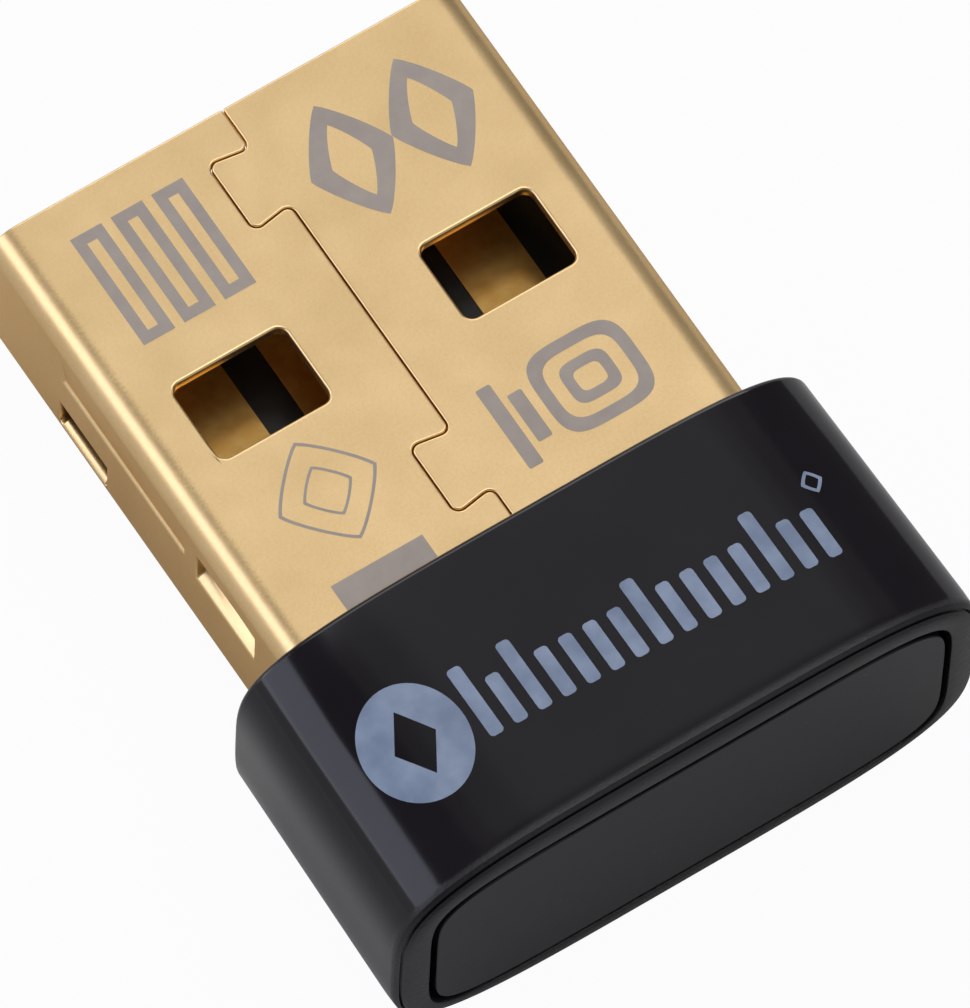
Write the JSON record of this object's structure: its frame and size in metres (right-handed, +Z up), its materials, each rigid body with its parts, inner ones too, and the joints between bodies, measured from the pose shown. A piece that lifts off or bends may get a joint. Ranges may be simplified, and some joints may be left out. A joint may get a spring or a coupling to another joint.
{
  "type": "usb wireless adapter",
  "caption": "Very short wireless adapter: a folded, gold-plated type A plug with a dovetailed seam, and a black moulded housing closed by an inset end cap.",
  "frame": {"origin": "middle of the adapter's footprint, on the flat under the housing", "axes": "+Y along the plug towards its mouth, +Z up out of the plug's seam face, +X to the right"},
  "size_m": [0.015, 0.0188, 0.007],
  "materials": {
    "gold_plated_steel": "satin gold plating",
    "black_moulding": "semi-gloss moulded black",
    "black_cap": "fine satin moulded black",
    "board_mask": "black solder mask",
    "insert_plastic": "black moulded nylon",
    "contact_gold": "gold flash over nickel",
    "copper_trace": "masked copper",
    "solder": "bright solder",
    "chip_epoxy": "matte black epoxy",
    "crystal_ceramic": "dark ceramic",
    "can_metal": "plated lid",
    "capacitor_ceramic": "tan ceramic",
    "resistor_coat": "black glaze",
    "ferrite": "dark ferrite"
  },
  "bodies": {
    "root": {"plug_shell": "gold_plated_steel", "housing": "black_moulding", "end_cap": "black_cap", "circuit_board": "board_mask", "plug_insert": "insert_plastic", "contact_vbus": "contact_gold", "contact_data_minus": "contact_gold", "contact_data_plus": "contact_gold", "contact_ground": "contact_gold", "ground_pads": "contact_gold", "shell_solder": "solder", "antenna_trace": "copper_trace", "radio_chip": "chip_epoxy", "radio_chip_pins": "solder", "crystal": "crystal_ceramic", "crystal_lid": "can_metal", "voltage_regulator": "chip_epoxy", "regulator_legs": "solder", "capacitors": "capacitor_ceramic", "capacitor_ends": "solder", "resistors": "resistor_coat", "resistor_ends": "solder", "inductor": "ferrite", "inductor_ends": "solder", "ferrite_bead": "ferrite", "ferrite_bead_ends": "solder"}
  },
  "joints": []
}
